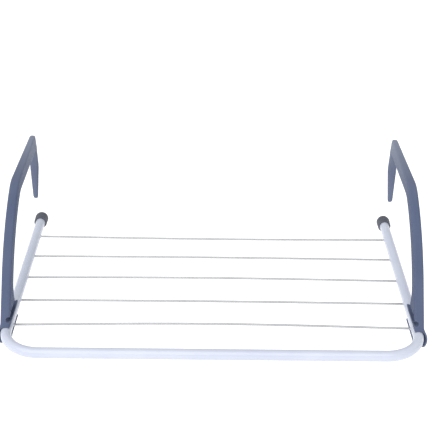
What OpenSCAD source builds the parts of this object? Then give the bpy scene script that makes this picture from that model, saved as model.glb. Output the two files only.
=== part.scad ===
// Hanging drying rack: a bent steel tube with five drying wires across it,
// and two hook arms that snap onto the side tubes and turn inward to fold.
// +X runs along the wires, +Y towards the wall, +Z up.
// The origin is midway between the two hook seats, where the rack hangs.

/* [Frame] */
// Distance between the centre lines of the two side tubes
frame_w = 506; // [420:1:620]
// Distance from the front bar's centre line to the far end of the caps
frame_depth = 345; // [286:1:420]
// Outside diameter of the tube
tube_d = 13.5; // [11:0.5:16.5]
// Wall of the tube
tube_wall = 1; // [0.8:0.1:2]
// Bend radius of the two front corners, to the tube's centre line
corner_r = 46; // [36:1:56]

/* [Wires] */
// Number of wires
wire_count = 5; // [5:1:5]
// Diameter of a wire
wire_d = 2.8; // [2.4:0.1:4]
// Distance from the front bar's centre line to the front wire
wire_front = 58.5; // [56:0.5:62]
// Distance from the rear wire to the far end of the caps
wire_rear = 64; // [45:1:75]
// Width of the weld bead round a wire's end
weld_w = 1.2; // [0.8:0.1:2]

/* [End caps] */
// Outside diameter of a cap
cap_d = 19; // [18.5:0.5:24]
// Length of a cap, from its open end to its round end
cap_length = 23; // [20:1:28]
// Depth of the socket that takes the end of the tube
cap_socket = 12; // [10:0.5:14]
// Length of the plug inside the tube
cap_plug = 14; // [8:1:24]

/* [Hook arms] */
// Height of the hook's seat above the tube's centre line
seat_h = 125; // [104:1:150]
// Depth of the top bar, from its seat to its top
bar_t = 17.5; // [14:0.5:21]
// Width of an arm, across the rack
arm_w = 12; // [10:0.5:14]
// How far the arm's inner face stands inside the tube's centre line
arm_inset = 5.5; // [4.5:0.1:5.8]
// Distance from the front bar's centre line to the far face of the finger
hook_reach = 320; // [267:1:384]
// Thickness of the finger
finger_t = 10; // [8:0.5:12]
// How far the finger hangs below the seat
finger_drop = 72; // [60:1:86]
// Width of the finger's tip
finger_tip_w = 5.5; // [5:0.5:8]
// Height of the finger's slanted end, which leans in under the hook
finger_end = 39; // [32:1:46]
// How far the tip leans towards the front of the rack
finger_lean = 16; // [8:1:20]
// Slope of the stem where it leaves the foot
stem_slope = 57; // [55:1:60]
// Bend radius of the elbow, along the top of the arm
elbow_r = 50; // [40:1:60]
// Bend radius of the stem, along its front
stem_r = 235; // [225:1:245]

/* [Foot] */
// Wall of the sleeve that grips the tube
sleeve_wall = 2.6; // [2:0.1:3.2]
// Distance from the front bar's centre line to the front of the sleeve, at the tube's centre line
foot_front = 35.4; // [34:0.2:38]
// Clear length between the sleeve and the next wire
foot_gap = 14; // [10:0.5:20]
// How much the sleeve's front end widens, so that it clears the corner bend
flare = 2.2; // [2:0.1:3.2]
// How far each arm turns inward when it folds, in degrees
fold_angle = 75; // [60:1:76]

/* [Hidden] */
$fn = 96;

tube_r = tube_d / 2;
wire_r = wire_d / 2;
cap_r = cap_d / 2;
side_x = frame_w / 2;
fit_gap = 0.1;
plug_gap = 0.05;
wire_gap = 0.8 * weld_w;
arc_steps = 10;
past = 1;

bead_r = wire_r + weld_w;
bead_base = sqrt(tube_r * tube_r - bead_r * bead_r);

tube_end = frame_depth - cap_length + cap_socket;
wire_pitch = (frame_depth - wire_rear - wire_front) / (wire_count - 1);

sleeve_bore = tube_r + fit_gap;
sleeve_r = sleeve_bore + sleeve_wall;
foot_rear = wire_front + wire_pitch - foot_gap;
flare_end = corner_r + past;
lip_angle = 122;
jaw_angle = 226;
claw_h = 0.8 * sleeve_r;

top_h = seat_h + bar_t;
elbow_turn = 27;
inner_stem_r = 205;
gusset_r = 28;
gusset_h = 46;
seat_fillet = 4;
hook_corner = 6;
tip_r = 4;
taper_h = 36;
finger_slim = 1.6;
valley_r = 6;
valley_x = -arm_inset - 1.5;
valley_above = 6.8;

straight = (top_h - stem_r * (cos(elbow_turn) - cos(stem_slope)) - elbow_r * (1 - cos(elbow_turn)))
           / sin(stem_slope);
bar_start = foot_front + straight * cos(stem_slope)
            + stem_r * (sin(stem_slope) - sin(elbow_turn)) + elbow_r * sin(elbow_turn);
seat_y = (bar_start + hook_reach - finger_t) / 2;

// Points of an arc, without its first point where it carries on from another arc
function arc(centre, r, from, to, first = 0) = [
    for (i = [first : arc_steps])
        let (a = from + (to - from) * i / arc_steps)
            centre + r * [cos(a), sin(a)]
];

// Puts the hang line at the origin
module hung() {
    translate([0, -seat_y, -seat_h]) children();
}

// A rod along +Y on one side tube's centre line, straight or tapered
module side_rod(from, to, r1, r2) {
    translate([0, from, 0]) rotate([-90, 0, 0]) cylinder(h = to - from, r1 = r1, r2 = r2);
}

// Extrudes an outline drawn in Y and Z along +X
module along_x(from, to) {
    translate([from, 0, 0]) rotate([90, 0, 90]) linear_extrude(height = to - from) children();
}

// Extrudes an outline drawn in X and Z along +Y
module along_y(from, to) {
    translate([0, to, 0]) rotate([90, 0, 0]) linear_extrude(height = to - from) children();
}

// The bent rod that the tube is made of, at one radius
module bent_rod(r, end) {
    bar_x = side_x - corner_r;
    translate([-bar_x, 0, 0]) rotate([0, 90, 0]) cylinder(h = 2 * bar_x, r = r);
    for (side = [0, 1]) {
        mirror([side, 0, 0]) {
            translate([bar_x, corner_r, 0]) rotate([0, 0, -90]) rotate_extrude(angle = 90)
                translate([corner_r, 0]) circle(r = r);
            translate([side_x, 0, 0]) side_rod(corner_r, end, r, r);
        }
    }
}

module frame_tube() {
    color("ghostwhite") hung() difference() {
        bent_rod(tube_r, tube_end);
        bent_rod(tube_r - tube_wall, tube_end + past);
    }
}

// The wires count from the rear, where the rack meets the wall
function wire_y(number) = wire_front + (wire_count - number) * wire_pitch;

module wire(number) {
    color("lightgray") hung() difference() {
        translate([-side_x, wire_y(number), 0]) rotate([0, 90, 0]) cylinder(h = frame_w, r = wire_r);
        for (side = [-1, 1]) {
            translate([side * side_x, 0, 0])
                side_rod(wire_y(number) - tube_r, wire_y(number) + tube_r, tube_r, tube_r);
        }
    }
}

// One small cone of weld round each wire's end
module weld_beads() {
    color("whitesmoke") hung() for (number = [1 : wire_count]) {
        difference() {
            translate([side_x - bead_base, wire_y(number), 0]) rotate([0, -90, 0])
                cylinder(h = tube_r + weld_w - bead_base, r1 = bead_r, r2 = wire_r);
            translate([-past, wire_y(number), 0]) rotate([0, 90, 0]) cylinder(h = side_x, r = wire_r);
            translate([side_x, 0, 0])
                side_rod(wire_y(number) - 2 * tube_r, wire_y(number) + 2 * tube_r, tube_r, tube_r);
        }
    }
}

module end_cap() {
    open_end = frame_depth - cap_length;
    color("dimgray") hung() translate([side_x, 0, 0]) {
        difference() {
            union() {
                side_rod(open_end, frame_depth - cap_r, cap_r, cap_r);
                translate([0, frame_depth - cap_r, 0]) sphere(r = cap_r);
            }
            side_rod(open_end - cap_r, tube_end, tube_r + plug_gap, tube_r + plug_gap);
        }
        side_rod(tube_end - cap_plug, tube_end + past, tube_r - tube_wall - plug_gap,
                 tube_r - tube_wall - plug_gap);
    }
}

// Side outline of the arm: up the front of the stem, along the top, down the finger,
// back along the seat and down the rear of the stem to the foot
module arm_outline() {
    elbow = [bar_start, top_h - elbow_r];
    elbow_out = elbow + elbow_r * [-sin(elbow_turn), cos(elbow_turn)];
    elbow_in = elbow + (elbow_r - bar_t) * [-sin(elbow_turn), cos(elbow_turn)];
    front_centre = elbow_out + stem_r * [sin(elbow_turn), -cos(elbow_turn)];
    rear_centre = elbow_in + inner_stem_r * [sin(elbow_turn), -cos(elbow_turn)];
    rear_low = rear_centre + inner_stem_r * [-sin(stem_slope), cos(stem_slope)];
    gusset_top = [rear_low[0] - (rear_low[1] - gusset_h) / tan(stem_slope), gusset_h];
    gusset = gusset_top + gusset_r * [sin(stem_slope), -cos(stem_slope)];
    finger_low = seat_h - finger_drop;
    finger_front = hook_reach - finger_t;
    tip = [hook_reach - finger_t / 2 - finger_lean, finger_low + tip_r];
    lean = atan(finger_lean / finger_end);
    polygon(concat(
        [[foot_front, 0]],
        arc(front_centre, stem_r, 90 + stem_slope, 90 + elbow_turn),
        arc(elbow, elbow_r, 90 + elbow_turn, 90, 1),
        arc([hook_reach - hook_corner, top_h - hook_corner], hook_corner, 90, 0),
        [[hook_reach, finger_low + finger_end]],
        arc(tip, tip_r, -lean, -180 - lean),
        [[finger_front, finger_low + finger_end]],
        arc([finger_front - seat_fillet, seat_h - seat_fillet], seat_fillet, 0, 90),
        arc(elbow, elbow_r - bar_t, 90, 90 + elbow_turn),
        arc(rear_centre, inner_stem_r, 90 + elbow_turn, 90 + stem_slope, 1),
        arc(gusset, gusset_r, 90 + stem_slope, 180 + asin((gusset[1] - sleeve_r) / gusset_r)),
        [[foot_rear - sleeve_r / tan(stem_slope), 0]]
    ));
}

// Side outline of the foot: both ends follow the slope of the stem, and the front end
// comes to a blunt claw below the tube
module foot_outline() {
    low = -2 * sleeve_r;
    high = sleeve_r + past;
    lean = 1 / tan(stem_slope);
    rear = foot_rear - sleeve_r * lean;
    polygon([[foot_front - claw_h * lean, -claw_h], [foot_front + claw_h, low], [rear + low * lean, low],
             [rear + high * lean, high], [foot_front + high * lean, high]]);
}

// The sleeve's outside, widened towards the corner bend
module sleeve_outside() {
    front = foot_front - 2 * sleeve_r / tan(stem_slope);
    side_rod(front, flare_end, sleeve_r + flare, sleeve_r);
    side_rod(flare_end, foot_rear + sleeve_r, sleeve_r, sleeve_r);
}

module sleeve_inside() {
    front = foot_front - 2 * sleeve_r / tan(stem_slope);
    side_rod(front - past, foot_rear + 2 * sleeve_r, sleeve_bore, sleeve_bore);
    side_rod(front, flare_end, sleeve_bore + flare + past, sleeve_bore);
}

// The hollow between the lip and the stem's inner face
module valley() {
    translate([valley_x, 0, sleeve_r + valley_above])
        side_rod(corner_r, foot_rear, valley_r, valley_r);
}

// The sleeve's open mouth, from the lip to the jaw
module mouth() {
    reach = 4 * sleeve_r;
    polygon([[0, 0], reach * [cos(lip_angle), sin(lip_angle)], [-reach, 0],
             reach * [cos(jaw_angle), sin(jaw_angle)]]);
}

// What the front wire sweeps through as the arm folds
module wire_sweep() {
    reach = 4 * sleeve_r;
    half = wire_r + wire_gap;
    along = [-cos(fold_angle), sin(fold_angle)];
    across = [sin(fold_angle), cos(fold_angle)];
    polygon([[0, -half], [-reach, -half], [-reach, reach], reach * along + half * across, half * across]);
}

// What is cut from both sides of the finger, so that it narrows to its tip
module finger_taper() {
    low = seat_h - finger_drop - past;
    outer = arm_w - arm_inset;
    tip = finger_slim - arm_inset;
    polygon([[outer, seat_h - taper_h], [outer + past, seat_h - taper_h],
             [outer + past, low], [tip + finger_tip_w, low]]);
    polygon([[-arm_inset, seat_h - past], [tip, low], [-arm_inset - past, low],
             [-arm_inset - past, seat_h - past]]);
}

module hook_arm() {
    color("slategray") hung() translate([side_x, 0, 0]) difference() {
        union() {
            along_x(-arm_inset, arm_w - arm_inset) arm_outline();
            intersection() {
                sleeve_outside();
                along_x(-2 * sleeve_r, 2 * sleeve_r) foot_outline();
            }
        }
        sleeve_inside();
        along_y(0, foot_rear + past) mouth();
        valley();
        along_y(wire_front - wire_r - wire_gap, wire_front + wire_r + wire_gap) wire_sweep();
        along_y(hook_reach - finger_t - finger_lean - tip_r, hook_reach + past) finger_taper();
    }
}

frame_tube();
wire(1);  // wire_1
wire(2);  // wire_2
wire(3);  // wire_3
wire(4);  // wire_4
wire(5);  // wire_5
mirror([1, 0, 0]) weld_beads();  // weld_beads_left
weld_beads();  // weld_beads_right
mirror([1, 0, 0]) end_cap();  // end_cap_left
end_cap();  // end_cap_right
mirror([1, 0, 0]) hook_arm();  // hook_arm_left
hook_arm();  // hook_arm_right
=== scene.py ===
import math

import bmesh
import bpy
from mathutils import Matrix, Vector


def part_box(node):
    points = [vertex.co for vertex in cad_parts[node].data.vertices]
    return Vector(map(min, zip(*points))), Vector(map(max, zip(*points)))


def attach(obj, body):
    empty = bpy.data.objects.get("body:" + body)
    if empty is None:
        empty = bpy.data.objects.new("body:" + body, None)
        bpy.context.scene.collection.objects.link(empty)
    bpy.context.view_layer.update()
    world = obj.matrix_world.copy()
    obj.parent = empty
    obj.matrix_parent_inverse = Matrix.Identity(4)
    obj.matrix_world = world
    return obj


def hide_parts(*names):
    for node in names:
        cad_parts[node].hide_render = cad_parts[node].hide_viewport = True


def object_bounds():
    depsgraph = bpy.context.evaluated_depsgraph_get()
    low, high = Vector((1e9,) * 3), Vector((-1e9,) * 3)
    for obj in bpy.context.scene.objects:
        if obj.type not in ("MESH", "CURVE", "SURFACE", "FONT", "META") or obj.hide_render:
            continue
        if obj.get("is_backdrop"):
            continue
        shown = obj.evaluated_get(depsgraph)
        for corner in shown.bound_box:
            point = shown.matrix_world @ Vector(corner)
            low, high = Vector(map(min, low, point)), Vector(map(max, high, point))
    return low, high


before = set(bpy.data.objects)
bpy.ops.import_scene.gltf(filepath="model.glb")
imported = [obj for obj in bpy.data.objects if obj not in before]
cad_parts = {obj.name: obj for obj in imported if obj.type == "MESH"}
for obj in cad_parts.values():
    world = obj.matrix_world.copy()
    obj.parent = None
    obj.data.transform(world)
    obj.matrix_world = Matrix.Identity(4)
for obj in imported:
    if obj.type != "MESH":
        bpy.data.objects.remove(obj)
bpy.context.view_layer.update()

MM = 0.001

# ---- Bent tube -------------------------------------------------------------------
# One length of thin steel tube, bent twice on a mandrel to a wide U and dipped in a
# cool white enamel. The bends are pressed a little oval, and both cut ends sit in caps.

tube_low, tube_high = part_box("frame_tube")
tube_r = (tube_high[2] - tube_low[2]) / 2
tube_wall = 1 * MM
side_x = tube_high[0] - tube_r
bar_y = tube_low[1] + tube_r
tube_z = tube_low[2] + tube_r
tube_end = tube_high[1]
corner_r = 46 * MM
bend_oval = 0.03
tube_facets = 56


def sweep_ring(centre, across, up, wide, tall, count):
    """Points round an ellipse, from its middle, its two directions and its half widths."""
    turns = [2 * math.pi * i / count for i in range(count)]
    return [centre + across * (wide * math.cos(t)) + up * (tall * math.sin(t)) for t in turns]


def skin(mesh, rings, closed=False):
    """Quads between rings of points. Open rows of rings are capped at both ends."""
    rows = [[mesh.verts.new(point) for point in ring] for ring in rings]
    count = len(rows[0])
    pairs = list(zip(rows, rows[1:]))
    if closed:
        pairs.append((rows[-1], rows[0]))
    for low, high in pairs:
        for i in range(count):
            j = (i + 1) % count
            mesh.faces.new((low[i], low[j], high[j], high[i]))
    if not closed:
        mesh.faces.new(list(reversed(rows[0])))
        mesh.faces.new(rows[-1])


def piece(name, mesh, crease=35):
    """A named object from a finished bmesh, shaded smooth up to the crease angle."""
    bmesh.ops.recalc_face_normals(mesh, faces=mesh.faces)
    data = bpy.data.meshes.new(name)
    mesh.to_mesh(data)
    mesh.free()
    data.shade_smooth()
    data.set_sharp_from_angle(angle=math.radians(crease))
    made = bpy.data.objects.new(name, data)
    bpy.context.scene.collection.objects.link(made)
    return made


def tube_path():
    """Middle, inward direction and oval of each ring, from the left cap to the right."""
    stations = []
    steps = 28
    turn_steps = 22
    for side in (-1, 1):
        leg = []
        for i in range(steps + 1):
            y = tube_end + (bar_y + corner_r - tube_end) * i / steps
            leg.append((Vector((side * side_x, y, tube_z)), Vector((-side, 0, 0)), 0))
        for i in range(1, turn_steps):
            turn = math.pi / 2 * i / turn_steps
            inward = Vector((-side * math.cos(turn), math.sin(turn), 0))
            middle = Vector((side * (side_x - corner_r), bar_y + corner_r, tube_z))
            leg.append((middle - inward * corner_r, inward, bend_oval * math.sin(2 * turn)))
        if side < 0:
            stations += leg
            for i in range(steps + 1):
                x = (side_x - corner_r) * (2 * i / steps - 1)
                stations.append((Vector((x, bar_y, tube_z)), Vector((0, 1, 0)), 0))
        else:
            stations += reversed(leg)
    return stations


def coated_tube():
    """Rings along the outside and back along the bore, so that the cut ends are square."""
    mesh = bmesh.new()
    up = Vector((0, 0, 1))
    path = tube_path()
    bore = tube_r - tube_wall
    outer = [sweep_ring(c, inward, up, tube_r * (1 - oval), tube_r, tube_facets) for c, inward, oval in path]
    inner = [sweep_ring(c, inward, up, bore * (1 - oval), bore, tube_facets) for c, inward, oval in path]
    skin(mesh, outer + inner[::-1], closed=True)
    return piece("coated_tube", mesh, crease=50)


class Field:
    """One output socket of a node tree. Sums and products of values add Math nodes."""

    def __init__(self, tree, socket=None):
        self.tree = tree
        self.socket = socket

    def node(self, kind, settings, sockets, out=0):
        made = self.tree.nodes.new("ShaderNode" + kind)
        for name, value in settings.items():
            setattr(made, name, value)
        for name, value in sockets.items():
            if isinstance(value, Field):
                self.tree.links.new(value.socket, made.inputs[name])
            else:
                made.inputs[name].default_value = value
        return Field(self.tree, made.outputs[out])

    def maths(self, operation, first, second):
        return self.node("Math", {"operation": operation}, {0: first, 1: second})

    def __add__(self, other):
        return self.maths("ADD", self, other)

    def __sub__(self, other):
        return self.maths("SUBTRACT", self, other)

    def __rsub__(self, other):
        return self.maths("SUBTRACT", other, self)

    def __mul__(self, other):
        return self.maths("MULTIPLY", self, other)

    def __rmul__(self, other):
        return self.maths("MULTIPLY", other, self)

    __radd__ = __add__

    def mix(self, first, second):
        """The first colour where this value is 0, and the second where it is 1."""
        settings = {"data_type": "RGBA", "clamp_factor": True}
        return self.node("Mix", settings, {0: self, 6: first, 7: second}, 2)


def finish_of(name, plain):
    """A new material, its starting field and its shader with plain numbers set."""
    made = bpy.data.materials.new(name)
    made.use_nodes = True
    shader = made.node_tree.nodes["Principled BSDF"]
    for socket, value in plain.items():
        shader.inputs[socket].default_value = value
    return made, Field(made.node_tree), shader


def feed(shader, **fields):
    """Links fields to the shader's sockets, whose names have _ for a space."""
    for name, field in fields.items():
        field.tree.links.new(field.socket, shader.inputs[name.replace("_", " ")])


def places(start, stretch=(1, 1, 1)):
    """Object coordinates in metres, stretched along the axes."""
    spot = start.node("TexCoord", {}, {}, "Object")
    return start.node("VectorMath", {"operation": "MULTIPLY"}, {0: spot, 1: stretch})


def noise(spot, scale, detail=3, roughness=0.5):
    sockets = {"Vector": spot, "Scale": scale, "Detail": detail, "Roughness": roughness}
    return spot.node("TexNoise", {}, sockets)


def levels(value, low, high):
    """0 up to low, 1 from high, and even between."""
    sockets = {"Value": value, "From Min": low, "From Max": high}
    return value.node("MapRange", {"clamp": True}, sockets)


def bumped(height, strength, distance):
    return height.node("Bump", {}, {"Height": height, "Strength": strength, "Distance": distance})


def enamel():
    """Cool white, in faint clouds, with a few grey specks and an orange peel surface."""
    thin_white = (0.58, 0.62, 0.745, 1)
    thick_white = (0.63, 0.67, 0.775, 1)
    speck_grey = (0.45, 0.47, 0.53, 1)
    plain = {"Coat Weight": 0.35, "Coat Roughness": 0.12, "IOR": 1.5}
    made, start, shader = finish_of("cool white enamel", plain)
    spot = places(start)
    clouds = levels(noise(spot, 18, 4), 0.35, 0.65)
    specks = levels(noise(spot, 900, 2, 0.7), 0.68, 0.78)
    paint = clouds.mix(thin_white, thick_white)
    paint = (specks * 0.35).mix(paint, speck_grey)
    peel = noise(spot, 420, 2, 0.6)
    rough = 0.27 + clouds * 0.07 + peel * 0.06
    feed(shader, Base_Color=paint, Roughness=rough, Normal=bumped(peel, 0.18, 0.2 * MM))
    return made


tube = coated_tube()
tube.data.materials.append(enamel())
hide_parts("frame_tube")
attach(tube, "frame")

# ---- Drying wires ----------------------------------------------------------------
# Five drawn steel wires, bright plated, each butted square on both side tubes and
# pressed a little flat by the welding jaws. Each keeps a slight bow of its own.

wire_nodes = ["wire_1", "wire_2", "wire_3", "wire_4", "wire_5"]
wire_facets = 20
wire_sink = 0.4 * MM
press_length = 5 * MM
press_flat = 0.08
bow_up = dict(zip(wire_nodes, (-1.1 * MM, 0.7 * MM, 1.5 * MM, 0.7 * MM, 3 * MM)))
bow_back = 0.4
bow_power = 1.4


def drying_wire(node):
    """A round rod from side tube to side tube, bowed, with flattened ends."""
    low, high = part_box(node)
    radius = (high[2] - low[2]) / 2
    y = (low[1] + high[1]) / 2
    end = side_x - tube_r + wire_sink
    spans = 90
    backward = Vector((0, 1, 0))
    up = Vector((0, 0, 1))
    mesh = bmesh.new()
    rings = []
    for i in range(spans + 1):
        x = -end * math.cos(math.pi * i / spans)
        bow = bow_up[node] * max(0, 1 - (x / end) ** 2) ** bow_power
        pressed = press_flat * max(0, 1 - (end - abs(x)) / press_length)
        centre = Vector((x, y + bow_back * bow, tube_z + bow))
        wide = radius * (1 + pressed)
        tall = radius * (1 - pressed)
        rings.append(sweep_ring(centre, backward, up, wide, tall, wire_facets))
    skin(mesh, rings)
    return piece("drying_" + node, mesh, crease=50)


def plated_wire():
    """Bright metal, drawn into fine lines along its length and darker near the welds."""
    dull_plate = (0.44, 0.445, 0.46, 1)
    bright_plate = (0.52, 0.525, 0.54, 1)
    near_tube_grey = (0.33, 0.335, 0.36, 1)
    made, start, shader = finish_of("bright plated wire", {"IOR": 1.6})
    along = places(start, (0.02, 1, 1))
    spot = places(start)
    drawn = noise(along, 3200, 2, 0.6)
    patches = levels(noise(spot, 30, 3), 0.35, 0.7)
    across = start.node("SeparateXYZ", {}, {"Vector": spot}, "X")
    from_end = side_x - tube_r - across.maths("ABSOLUTE", across, 0)
    # the wire is darker over its last 20 mm before the tube
    near_tube_share = 1 - levels(from_end, 2 * MM, 20 * MM)
    metal = patches.mix(dull_plate, bright_plate)
    metal = (near_tube_share * 0.5).mix(metal, near_tube_grey)
    rough = 0.36 + drawn * 0.12 + patches * 0.05
    feed(shader, Base_Color=metal, Metallic=0.45 + patches * 0.1, Roughness=rough,
         Normal=bumped(drawn, 0.25, 0.1 * MM))
    return made


wire_finish = plated_wire()
for node in wire_nodes:
    wire = drying_wire(node)
    wire.data.materials.append(wire_finish)
    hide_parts(node)
    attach(wire, "frame")

# ---- Weld beads ------------------------------------------------------------------
# A small ring of weld where each wire meets the tube, lumpy from the welder's short
# pulses and covered by the same enamel as the tube.

bead_width = 0.9 * MM
bead_rise = 1.1 * MM
bead_lump = 0.12
bead_pulses = 5
bead_shift = 900
bead_root = 0.93


def bead_ring(mesh, side, y, radius):
    """One bead: its foot lies on the round of the tube and its top on the wire."""
    around = 28
    rows = 7
    rings = []
    for row in range(rows):
        share = row / (rows - 1)
        reach = radius + bead_width * (1 - math.sin(share * math.pi / 2))
        ring = []
        for i in range(around):
            turn = 2 * math.pi * i / around
            pulse = math.sin(bead_pulses * turn + bead_shift * y)
            lump = 1 + bead_lump * pulse * math.sin(math.pi * share)
            dy = reach * lump * math.cos(turn)
            dz = reach * lump * math.sin(turn)
            on_tube = side_x - math.sqrt(tube_r ** 2 - dz ** 2)
            rise = bead_rise * (1 - math.cos(share * math.pi / 2)) * lump
            ring.append(Vector((side * (on_tube - rise), y + dy, tube_z + dz)))
        rings.append(ring)
    root = [Vector((side * (side_x - tube_r * bead_root), p.y, p.z)) for p in rings[0]]
    skin(mesh, [root] + rings)


def weld_paint():
    """The tube's enamel, rippled by the rough weld below it."""
    thin_white = (0.5, 0.52, 0.58, 1)
    thick_white = (0.72, 0.74, 0.82, 1)
    plain = {"Coat Weight": 0.3, "Coat Roughness": 0.2}
    made, start, shader = finish_of("enamel over weld", plain)
    spot = places(start)
    ripple = noise(spot, 1400, 3, 0.6)
    shade = levels(noise(spot, 500, 2), 0.4, 0.65)
    paint = shade.mix(thin_white, thick_white)
    feed(shader, Base_Color=paint, Roughness=0.3 + ripple * 0.2, Normal=bumped(ripple, 0.5, 0.3 * MM))
    return made


weld_finish = weld_paint()
for side, node in ((-1, "weld_beads_left"), (1, "weld_beads_right")):
    mesh = bmesh.new()
    for wire_node in wire_nodes:
        low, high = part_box(wire_node)
        bead_ring(mesh, side, (low[1] + high[1]) / 2, (high[2] - low[2]) / 2)
    beads = piece("lumpy_" + node, mesh, crease=60)
    beads.data.materials.append(weld_finish)
    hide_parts(node)
    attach(beads, "frame")

# ---- End caps --------------------------------------------------------------------
# Soft dark plastic buffers pushed onto the cut ends of the tube, which rest on the
# wall. Turned from a profile: a rolled rim, a short skirt, a shallow groove, a dome.

rim_roll = 0.8 * MM
skirt_step = 0.3 * MM
groove_deep = 0.3 * MM
grip_gap = 0.05 * MM
shoulder_step = 0.1 * MM
socket_deep = 12 * MM
plug_deep = 14 * MM
plug_r = tube_r - tube_wall - grip_gap
plug_bevel = 1 * MM
plug_root = 0.5 * MM
axis_r = 0.02 * MM


def cap_profile(length, radius):
    """(distance along the cap, radius) from the socket's floor out and round the dome."""
    mouth_r = tube_r + grip_gap
    skirt_r = radius - skirt_step
    groove_r = skirt_r - groove_deep
    points = [(socket_deep, axis_r), (socket_deep, mouth_r), (rim_roll, mouth_r)]
    rim_r = (mouth_r + skirt_r) / 2
    rim_half = (skirt_r - mouth_r) / 2
    rim_steps = 10
    for i in range(1, rim_steps):
        turn = math.pi * i / rim_steps
        points.append((rim_roll * (1 - math.sin(turn)), rim_r - rim_half * math.cos(turn)))
    dome_start = length - radius
    points += [(rim_roll, skirt_r), (dome_start * 0.55, skirt_r)]
    points += [(dome_start * 0.6, groove_r), (dome_start * 0.68, groove_r)]
    points += [(dome_start * 0.78, radius - shoulder_step), (dome_start * 0.9, radius)]
    dome_steps = 18
    for i in range(dome_steps + 1):
        turn = math.pi / 2 * i / dome_steps
        points.append((dome_start + radius * math.sin(turn), max(radius * math.cos(turn), axis_r)))
    return points


def turned(mesh, profile, x, z, facets):
    """A skin round a line along +Y, from (place along it, radius) pairs."""
    across = Vector((1, 0, 0))
    up = Vector((0, 0, 1))
    skin(mesh, [sweep_ring(Vector((x, y, z)), across, up, r, r, facets) for y, r in profile])


def end_cap(side, node):
    """The cap's shell, and the plug that stands in its socket and fills the tube's bore."""
    low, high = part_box(node)
    open_y = tube_end - socket_deep
    shell = cap_profile(high[1] - open_y, (high[2] - low[2]) / 2)
    plug_low = tube_end - plug_deep
    plug = [(plug_low, 0.7 * plug_r), (plug_low + plug_bevel, plug_r), (tube_end + plug_root, plug_r)]
    mesh = bmesh.new()
    turned(mesh, [(open_y + along, r) for along, r in shell], side * side_x, tube_z, tube_facets)
    turned(mesh, plug, side * side_x, tube_z, tube_facets)
    return piece(node.replace("end_cap", "buffer_cap"), mesh, crease=40)


def grained_plastic():
    """Near black, with the mould's fine leather grain and some pale dust."""
    deep_grey = (0.07, 0.077, 0.1, 1)
    worn_grey = (0.1, 0.108, 0.135, 1)
    dust_grey = (0.26, 0.265, 0.285, 1)
    made, start, shader = finish_of("grained dark plastic", {"IOR": 1.47})
    spot = places(start)
    grain = start.node("TexVoronoi", {"feature": "SMOOTH_F1"}, {"Vector": spot, "Scale": 1500})
    clouds = levels(noise(spot, 160, 3), 0.35, 0.65)
    dust = levels(noise(spot, 1500, 3, 0.7), 0.5, 0.75)
    shade = clouds.mix(deep_grey, worn_grey)
    shade = (dust * 0.35).mix(shade, dust_grey)
    feed(shader, Base_Color=shade, Roughness=0.5 + grain * 0.25, Normal=bumped(grain, 0.45, 0.3 * MM))
    return made


cap_finish = grained_plastic()
for side, node in ((-1, "end_cap_left"), (1, "end_cap_right")):
    cap = end_cap(side, node)
    cap.data.materials.append(cap_finish)
    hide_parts(node)
    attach(cap, "frame")

# ---- Hook arms -------------------------------------------------------------------
# Two arms moulded in one piece each from a slate blue plastic: a curved stem that
# grows out of a sleeve, a flat top bar, and a finger that drops behind the rail. The
# sleeve is open on its inner side, so that it snaps over the tube and turns on it.

arm_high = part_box("hook_arm_right")[1]
seat_h = -tube_z
top_h = arm_high[2] - tube_z
hook_reach = arm_high[1] - bar_y
bar_t = top_h - seat_h
arm_w = 12 * MM
arm_inset = 5.5 * MM
finger_t = 10 * MM
finger_drop = 72 * MM
finger_tip_w = 5.5 * MM
finger_end = 39 * MM
finger_lean = 16 * MM
stem_slope = math.radians(57)
elbow_turn = math.radians(27)
elbow_r = 50 * MM
stem_r = 235 * MM
inner_stem_r = 205 * MM
gusset_r = 28 * MM
gusset_h = 46 * MM
seat_fillet = 4 * MM
hook_corner = 6 * MM
tip_r = 4 * MM
knee_soft = 6 * MM
knee_rear = 0.5 * MM
knee_front = 0.4 * MM
taper_h = 36 * MM
finger_slim = 1.6 * MM
peak_slim = 0.3
peak_run = 40 * MM
nose_slim = 0.4
nose_run = 14 * MM
leaf_power = 1.7
foot_front = 35.4 * MM
sleeve_wall = 2.6 * MM
sleeve_bore = tube_r + 0.25 * MM
sleeve_r = tube_r + 0.1 * MM + sleeve_wall
flare = 2.2 * MM
flare_start = foot_front - 2 * sleeve_r / math.tan(stem_slope)
flare_end = corner_r + 1 * MM
foot_gap = 14 * MM
claw_h = 0.8 * sleeve_r
sleeve_reach = 4 * sleeve_r
lip_angle = math.radians(122)
jaw_angle = math.radians(219)
lip_r = 1.5 * MM
lip_tall = 2.6 * MM
lip_back = math.radians(6)
lip_facets = 24
valley_r = 5.2 * MM
valley_x = -3.2 * MM
valley_above = 5.2 * MM
valley_nose = 22 * MM
valley_lead = 3 * MM
valley_past = 2 * MM
valley_tip = 0.3
fold_angle = math.radians(75)
wire_gap = 0.6 * MM
edge_outer = 2.6 * MM
edge_inner = 2.4 * MM
edge_steps = 6
cutter_start = -20 * MM
cutter_facets = 72
voxel = 0.7 * MM
near = 0.01 * MM


def spot_on(centre, r, turn):
    return (centre[0] + r * math.cos(turn), centre[1] + r * math.sin(turn))


def arc(centre, r, start, end, steps):
    return [spot_on(centre, r, start + (end - start) * i / steps) for i in range(steps + 1)]


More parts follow.
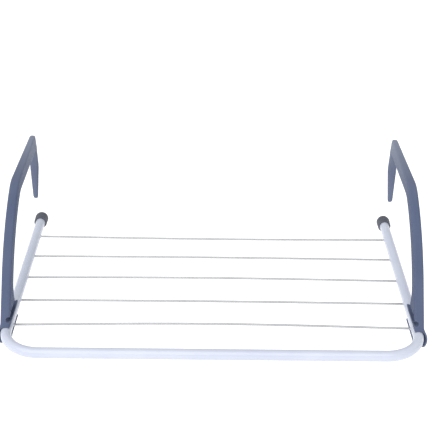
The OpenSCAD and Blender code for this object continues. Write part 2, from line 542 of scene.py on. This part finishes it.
def arm_outline(foot_rear):
    """The arm from the side, as (distance from the front bar, height above the tube)."""
    up = math.pi / 2
    level = math.sin(stem_slope)
    straight = (top_h - stem_r * (math.cos(elbow_turn) - math.cos(stem_slope))
                - elbow_r * (1 - math.cos(elbow_turn))) / level
    bar_start = (foot_front + straight * math.cos(stem_slope)
                 + stem_r * (level - math.sin(elbow_turn)) + elbow_r * math.sin(elbow_turn))
    elbow = (bar_start, top_h - elbow_r)
    elbow_out = spot_on(elbow, elbow_r, up + elbow_turn)
    elbow_in = spot_on(elbow, elbow_r - bar_t, up + elbow_turn)
    front_centre = spot_on(elbow_out, stem_r, elbow_turn - up)
    rear_centre = spot_on(elbow_in, inner_stem_r, elbow_turn - up)
    rear_low = spot_on(rear_centre, inner_stem_r, up + stem_slope)
    gusset_top = (rear_low[0] - (rear_low[1] - gusset_h) / math.tan(stem_slope), gusset_h)
    gusset = spot_on(gusset_top, gusset_r, stem_slope - up)
    finger_low = seat_h - finger_drop
    finger_front = hook_reach - finger_t
    tip = (hook_reach - finger_t / 2 - finger_lean, finger_low + tip_r)
    lean = math.atan(finger_lean / finger_end)
    knee = finger_low + finger_end
    points = [(foot_front, 0)]
    points += arc(front_centre, stem_r, up + stem_slope, up + elbow_turn, 44)
    points += arc(elbow, elbow_r, up + elbow_turn, up, 18)
    points += arc((hook_reach - hook_corner, top_h - hook_corner), hook_corner, up, 0, 14)
    points += [(hook_reach, knee + knee_soft), (hook_reach - knee_rear, knee)]
    points += arc(tip, tip_r, -lean, -math.pi - lean, 16)
    points += [(finger_front - knee_front, knee), (finger_front, knee + knee_soft)]
    points += arc((finger_front - seat_fillet, seat_h - seat_fillet), seat_fillet, 0, up, 8)
    points += arc(elbow, elbow_r - bar_t, up, up + elbow_turn, 14)
    points += arc(rear_centre, inner_stem_r, up + elbow_turn, up + stem_slope, 36)
    gusset_foot = math.asin((gusset[1] - sleeve_r) / gusset_r)
    points += arc(gusset, gusset_r, up + stem_slope, math.pi + gusset_foot, 14)
    points += [(foot_rear - sleeve_r / math.tan(stem_slope), 0)]
    kept = [points[0]]
    for point in points[1:]:
        if math.dist(point, kept[-1]) > near:
            kept.append(point)
    return kept


def inset_outline(points, depth):
    """The outline moved inward by depth. It runs clockwise, so inward is to its right."""
    sharpest = 0.45
    moved = []
    count = len(points)
    for i in range(count):
        a, b, c = (Vector(points[(i + k) % count]) for k in (-1, 0, 1))
        first = (b - a).normalized()
        second = (c - b).normalized()
        right = Vector((first.y + second.y, -first.x - second.x)).normalized()
        spread = max(sharpest, right.dot(Vector((first.y, -first.x))))
        moved.append(b + right * (depth / spread))
    return moved


def arm_x(x, y, z):
    """Slims the hook's top corner and tapers the finger to a leaf."""
    back = max(0, 1 - (hook_reach - y) / peak_run)
    high = max(0, 1 - (top_h - z) / bar_t)
    nose = max(0, 1 - (hook_reach - y) / nose_run)
    centre = arm_w / 2 - arm_inset
    x = centre + (x - centre) * (1 - (peak_slim * back * back + nose_slim * nose * nose) * high)
    if y > hook_reach - finger_t - finger_lean - 2 * tip_r and z < seat_h:
        inner = -arm_inset + finger_slim * (seat_h - z) / finger_drop
        share = max(0, seat_h - taper_h - z) / (finger_drop - taper_h)
        outer = arm_w - arm_inset
        outer -= (outer + arm_inset - finger_slim - finger_tip_w) * share ** leaf_power
        x = inner + (x + arm_inset) * (outer - inner) / arm_w
    return x


def arm_plate(mesh, foot_rear):
    """The arm's web, with both edges rounded by layers that step in from the outline."""
    outline = arm_outline(foot_rear)
    turns = [math.pi / 2 * i / edge_steps for i in range(edge_steps + 1)]
    inner_x = edge_inner - arm_inset
    outer_x = arm_w - arm_inset - edge_outer
    layers = [(inner_x - edge_inner * math.cos(t), edge_inner * (1 - math.sin(t))) for t in turns]
    layers += [(outer_x + edge_outer * math.sin(t), edge_outer * (1 - math.cos(t))) for t in turns]
    rings = []
    for x, depth in layers:
        rings.append([Vector((arm_x(x, y, z), y, z)) for y, z in inset_outline(outline, depth)])
    skin(mesh, rings)


def sleeve_ends(z, foot_rear):
    """Where the sleeve starts and ends at height z: it follows the stem's slope, down
    to a blunt claw."""
    lean = 1 / math.tan(stem_slope)
    if z >= -claw_h:
        front = foot_front + z * lean
    else:
        share = (-claw_h - z) / (2 * sleeve_r - claw_h)
        front = foot_front - claw_h * lean + share * claw_h * (1 + lean)
    return front, foot_rear + (z - sleeve_r) * lean


def sleeve_wall_ring(turn, foot_rear):
    """The wall's cross-section at one angle round the tube, with rounded ends."""
    z = sleeve_r * math.sin(turn)
    front, rear = sleeve_ends(z, foot_rear)
    ring = []
    steps = 26
    end_steps = 6
    half = sleeve_wall / 2
    middle_r = sleeve_r - half

    def swell(y):
        return flare * max(0, (flare_end - y) / (flare_end - flare_start))

    for i in range(steps + 1):
        y = front + half + (rear - front - 2 * half) * i / steps
        ring.append((y, middle_r + half + swell(y)))
    for i in range(1, end_steps):
        bend = math.pi * i / end_steps
        y = rear - half + half * math.sin(bend)
        ring.append((y, middle_r + half * math.cos(bend) + swell(y)))
    for i in range(steps + 1):
        y = rear - half + (front - rear + 2 * half) * i / steps
        ring.append((y, middle_r - half + swell(y)))
    for i in range(1, end_steps):
        bend = math.pi * i / end_steps
        y = front + half - half * math.sin(bend)
        ring.append((y, middle_r - half * math.cos(bend) + swell(y)))
    return [Vector((r * math.cos(turn), y, r * math.sin(turn))) for y, r in ring]


def lip_ridge(mesh, foot_rear):
    """The ridge along the mouth's upper edge, which a thumb pulls to unclip the arm."""
    turn = lip_angle - lip_back
    across = Vector((math.sin(turn), 0, -math.cos(turn)))
    out = Vector((math.cos(turn), 0, math.sin(turn)))
    middle = out * (sleeve_r - sleeve_wall / 2 + lip_tall / 2)
    front, rear = sleeve_ends(middle.z, foot_rear)
    steps = 4
    least = 0.05
    half_tall = lip_r + lip_tall / 2
    rings = []
    for end, sign in ((front + 2 * lip_r, -1), (rear - lip_r, 1)):
        for i in range(steps + 1):
            bend = math.pi / 2 * (i / steps if sign > 0 else 1 - i / steps)
            share = max(least, math.cos(bend))
            centre = middle + Vector((0, end + sign * lip_r * math.sin(bend), 0))
            rings.append(sweep_ring(centre, across, out, lip_r * share, half_tall * share, lip_facets))
    skin(mesh, rings)


def sleeve(mesh, foot_rear):
    """The open sleeve, from its lip over the tube and round below it to the jaw."""
    end = jaw_angle - 2 * math.pi
    count = 64
    turns = [lip_angle + (end - lip_angle) * i / count for i in range(count + 1)]
    skin(mesh, [sleeve_wall_ring(turn, foot_rear) for turn in turns])
    lip_ridge(mesh, foot_rear)


def turned_cutter(profile, x=0, z=0):
    """A round cutter along +Y, from (distance, radius) pairs."""
    mesh = bmesh.new()
    turned(mesh, profile, x, z, cutter_facets)
    return piece("cutter", mesh)


def prism_cutter(points, start, end):
    """A flat-sided cutter: (x, z) points run from start to end along Y."""
    mesh = bmesh.new()
    skin(mesh, [[Vector((x, y, z)) for x, z in points] for y in (start, end)])
    return piece("cutter", mesh)


def apply_modifiers(target):
    """Makes what the modifiers show the object's own mesh."""
    graph = bpy.context.evaluated_depsgraph_get()
    shown = bpy.data.meshes.new_from_object(target.evaluated_get(graph))
    target.modifiers.clear()
    target.data = shown


def cut(target, cutter):
    step = target.modifiers.new("cut", "BOOLEAN")
    step.operation = "DIFFERENCE"
    step.solver = "MANIFOLD"
    step.object = cutter
    apply_modifiers(target)
    bpy.data.objects.remove(cutter)


def fuse(target, size, rounds):
    """Makes one moulded skin of the parts, with all edges softened."""
    remesh = target.modifiers.new("skin", "REMESH")
    remesh.mode = "VOXEL"
    remesh.voxel_size = size
    smooth = target.modifiers.new("soften", "SMOOTH")
    smooth.factor = 0.5
    smooth.iterations = rounds
    apply_modifiers(target)


def bore_cutter(far):
    """The sleeve's bore, which widens towards the tube's corner bend."""
    slope = flare / (flare_end - flare_start)
    wide = sleeve_bore + slope * (flare_end - cutter_start)
    return turned_cutter([(cutter_start, wide), (flare_end, sleeve_bore), (far, sleeve_bore)])


def mouth_cutter(far):
    """The sleeve's open mouth, from the lip to the jaw."""
    lip = spot_on((0, 0), sleeve_reach, lip_angle + lip_back)
    jaw = spot_on((0, 0), sleeve_reach, jaw_angle)
    return prism_cutter([(0, 0), lip, (-sleeve_reach, 0), jaw], cutter_start, far)


def slot_cutter():
    """What the front wire sweeps through as the arm folds, ending where it stops the arm."""
    low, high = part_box("wire_5")
    middle = (low[1] + high[1]) / 2 - bar_y
    half = (high[1] - low[1]) / 2 + wire_gap
    stop = spot_on((0, 0), sleeve_reach, math.pi - fold_angle)
    across = (half * math.sin(fold_angle), half * math.cos(fold_angle))
    points = [(0, -half), (-sleeve_reach, -half), (-sleeve_reach, sleeve_reach)]
    points += [(stop[0] + across[0], stop[1] + across[1]), across]
    return prism_cutter(points, middle - half, middle + half)


def valley_cutter(foot_rear):
    """The scoop between the lip and the stem, which makes room for a thumb."""
    start = foot_front + sleeve_r / math.tan(stem_slope) - valley_lead
    end = foot_rear + valley_past
    tip = valley_tip * valley_r
    profile = [(start, tip), (start + valley_nose, valley_r), (end - valley_r, valley_r), (end, tip)]
    return turned_cutter(profile, valley_x, sleeve_r + valley_above)


def hook_arm():
    """The arm for the right side, measured from the middle of its tube at the front bar."""
    next_low, next_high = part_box("wire_4")
    foot_rear = (next_low[1] + next_high[1]) / 2 - bar_y - foot_gap
    far = foot_rear + sleeve_reach
    mesh = bmesh.new()
    arm_plate(mesh, foot_rear)
    sleeve(mesh, foot_rear)
    arm = piece("arm", mesh)
    fuse(arm, voxel, 5)
    cut(arm, bore_cutter(far))
    cut(arm, mouth_cutter(far))
    cut(arm, slot_cutter())
    cut(arm, valley_cutter(foot_rear))
    fuse(arm, voxel, 3)
    return arm


def moulded_plastic():
    """Slate blue with flow marks, scuffed and worn at its edges, and paler on the hooks and tops as painted
    light.
    """
    deep_slate = ((0.088, 0.112, 0.19, 1), (0.106, 0.132, 0.218, 1))
    painted_light_slate = ((0.215, 0.24, 0.312, 1), (0.24, 0.268, 0.342, 1))
    scuff_blue = (0.21, 0.23, 0.31, 1)
    edge_grey = (0.25, 0.265, 0.31, 1)
    plain = {"IOR": 1.45, "Specular IOR Level": 0.12}
    made, start, shader = finish_of("slate blue moulded plastic", plain)
    spot = places(start)
    flow = levels(noise(places(start, (1, 0.25, 0.4)), 60, 4), 0.3, 0.7)
    grain = noise(spot, 1700, 3, 0.65)
    scuff = levels(noise(places(start, (1, 0.3, 1)), 700, 4, 0.7), 0.62, 0.75)
    backward = start.node("SeparateXYZ", {}, {"Vector": spot}, "Y")
    height = start.node("SeparateXYZ", {}, {"Vector": spot}, "Z")
    # painted light: a paler copy of the slate, mixed in on the tops and towards the hooks, stands in for
    # light falling on them
    painted_light_top = levels(height, -30 * MM, 12 * MM)
    painted_light_share = levels(backward, -110 * MM, 60 * MM) * (0.3 + 0.7 * painted_light_top)
    shade = painted_light_share.mix(flow.mix(*deep_slate), flow.mix(*painted_light_slate))
    shade = (scuff * 0.25).mix(shade, scuff_blue)
    edge = start.node("NewGeometry", {}, {}, "Pointiness")
    worn = levels(edge, 0.515, 0.57)
    shade = (worn * 0.4).mix(shade, edge_grey)
    rough = 0.55 + grain * 0.2 + flow * 0.05
    feed(shader, Base_Color=shade, Roughness=rough, Normal=bumped(grain, 0.22, 0.2 * MM))
    return made


arm_finish = moulded_plastic()
pattern = hook_arm()
for side, node, body in ((-1, "hook_arm_left", "left_arm"), (1, "hook_arm_right", "right_arm")):
    data = pattern.data.copy()
    place = Matrix.Translation((side * side_x, bar_y, tube_z)) @ Matrix.Diagonal((side, 1, 1, 1))
    data.transform(place)
    if side < 0:
        data.flip_normals()
    data.shade_smooth()
    data.materials.clear()
    data.materials.append(arm_finish)
    arm = bpy.data.objects.new("moulded_" + node, data)
    bpy.context.scene.collection.objects.link(arm)
    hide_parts(node)
    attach(arm, body)
bpy.data.objects.remove(pattern)

# ---- Room ------------------------------------------------------------------------
# A plain white floor well below the hanging rack, an even sky, and one broad soft
# window of light in front of the rack, to the left and above it.

floor_z = -900 * MM
floor_half = 80
floor_mesh = bmesh.new()
bmesh.ops.create_grid(floor_mesh, x_segments=1, y_segments=1, size=floor_half)
floor = piece("floor", floor_mesh)
floor.location.z = floor_z
floor_plain = {"Roughness": 0.9, "Specular IOR Level": 0.1,
               "Emission Color": (1, 1, 1, 1), "Emission Strength": 0.35}
floor_finish, start, shader = finish_of("white floor", floor_plain)
chalk = levels(noise(places(start), 3, 2), 0, 1)
feed(shader, Base_Color=chalk.mix((0.93, 0.93, 0.93, 1), (0.96, 0.96, 0.96, 1)))
floor.data.materials.append(floor_finish)
floor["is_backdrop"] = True

window_side = Vector((-0.35, -0.62, 0.95))
window_light = bpy.data.lights.new("front window", "SUN")
window_light.energy = 2.1
window_light.angle = 1.2
window = bpy.data.objects.new("front window", window_light)
window.location = window_side
window.rotation_euler = window_side.to_track_quat("Z", "Y").to_euler()
bpy.context.scene.collection.objects.link(window)

sky = bpy.data.worlds.new("even sky")
sky.use_nodes = True
sky_light = sky.node_tree.nodes["Background"].inputs
sky_light["Color"].default_value = (1, 1, 1, 1)
sky_light["Strength"].default_value = 0.5
bpy.context.scene.world = sky
bpy.context.scene.view_settings.view_transform = "Standard"

# ---- Camera ----------------------------------------------------------------------
# In front of the rack and above it, looking down on it, with a very slight roll.

camera_place = (-7.65 * MM, bar_y - 979 * MM, tube_z + 711.5 * MM)
camera_pitch = 0.49136
camera_yaw = 0.00894
camera_roll = 0.01536
camera_shift = 0.5 / 430

lens = bpy.data.cameras.new("camera")
lens.lens = 84.37
lens.sensor_width = 36
lens.clip_end = 300
lens.shift_x = -camera_shift
lens.shift_y = camera_shift
camera = bpy.data.objects.new("camera", lens)
aimed = Matrix.Rotation(-camera_yaw, 4, "Z") @ Matrix.Rotation(math.pi / 2 - camera_pitch, 4, "X")
camera.matrix_world = Matrix.Translation(camera_place) @ aimed @ Matrix.Rotation(camera_roll, 4, "Z")
bpy.context.scene.collection.objects.link(camera)
bpy.context.scene.camera = camera

low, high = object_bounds()
